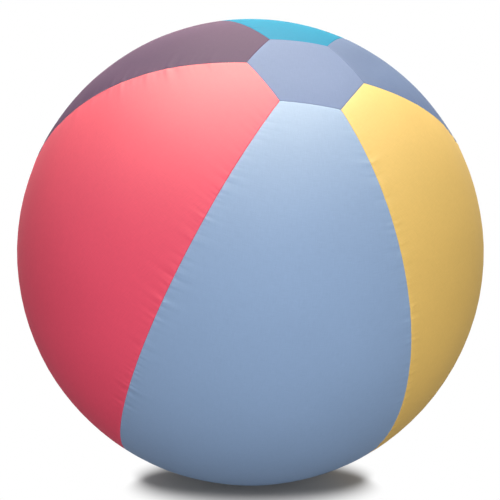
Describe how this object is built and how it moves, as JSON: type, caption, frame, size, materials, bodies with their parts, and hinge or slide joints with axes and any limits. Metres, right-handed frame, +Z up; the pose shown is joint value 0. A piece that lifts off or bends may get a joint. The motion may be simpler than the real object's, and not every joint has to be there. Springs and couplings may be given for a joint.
{
  "type": "balloon ball",
  "caption": "Round balloon ball: a sewn cloth cover of coloured gores that meet at hexagonal caps, filled by a balloon and closed by a short zip in one seam.",
  "frame": {"origin": "middle of the flat on which the ball rests, on the floor under its centre", "axes": "+Z up, -Y towards the viewer of the picture, +X to that viewer's right"},
  "size_m": [0.4993, 0.499, 0.4985],
  "materials": {
    "light_blue_cloth": "fine plain-woven cloth with a faint satin sheen",
    "yellow_cloth": "fine plain-woven cloth with a faint satin sheen",
    "slate_blue_cloth": "fine plain-woven cloth with a faint satin sheen",
    "turquoise_cloth": "fine plain-woven cloth with a faint satin sheen",
    "purple_cloth": "fine plain-woven cloth with a faint satin sheen",
    "red_cloth": "fine plain-woven cloth with a faint satin sheen",
    "cap_cloth": "fine plain-woven cloth with a faint satin sheen",
    "sewing_thread": "twisted polyester thread",
    "balloon_latex": "thin stretched latex",
    "plug_plastic": "soft moulded plastic",
    "zip_tape": "woven tape",
    "zip_teeth": "moulded plastic with a dull shine",
    "zip_metal": "nickel-plated, worn satin"
  },
  "bodies": {
    "ball": {"light_blue_gore": "light_blue_cloth", "yellow_gore": "yellow_cloth", "slate_blue_gore": "slate_blue_cloth", "turquoise_gore": "turquoise_cloth", "purple_gore": "purple_cloth", "red_gore": "red_cloth", "top_cap": "cap_cloth", "bottom_cap": "cap_cloth", "top_cap_thread": "sewing_thread", "bottom_cap_thread": "sewing_thread", "red_light_blue_seam_thread": "sewing_thread", "light_blue_yellow_seam_thread": "sewing_thread", "yellow_slate_blue_seam_thread": "sewing_thread", "slate_blue_turquoise_seam_thread_upper": "sewing_thread", "slate_blue_turquoise_seam_thread_lower": "sewing_thread", "turquoise_purple_seam_thread": "sewing_thread", "purple_red_seam_thread": "sewing_thread", "balloon": "balloon_latex", "balloon_plug": "plug_plastic", "zip_tape_slate_blue_side": "zip_tape", "zip_tape_turquoise_side": "zip_tape", "zip_teeth_slate_blue_side": "zip_teeth", "zip_teeth_turquoise_side": "zip_teeth", "zip_top_stop_slate_blue_side": "zip_metal", "zip_top_stop_turquoise_side": "zip_metal", "zip_bottom_stop": "zip_metal"},
    "zip_slider": {"zip_slider": "zip_metal"},
    "zip_pull": {"zip_pull": "zip_metal"}
  },
  "joints": [
    {"name": "zip_slide", "type": "hinge", "parent": "ball", "child": "zip_slider", "pos_m": [0, 0, 0.24875], "axis": [-0.8865, 0.1705, 0.4302], "range_deg": [0, 25.5]},
    {"name": "pull_flip", "type": "hinge", "parent": "zip_slider", "child": "zip_pull", "pos_m": [0.05103, 0.24604, 0.25641], "axis": [0.8865, -0.1705, -0.4302], "range_deg": [0, 170]}
  ]
}
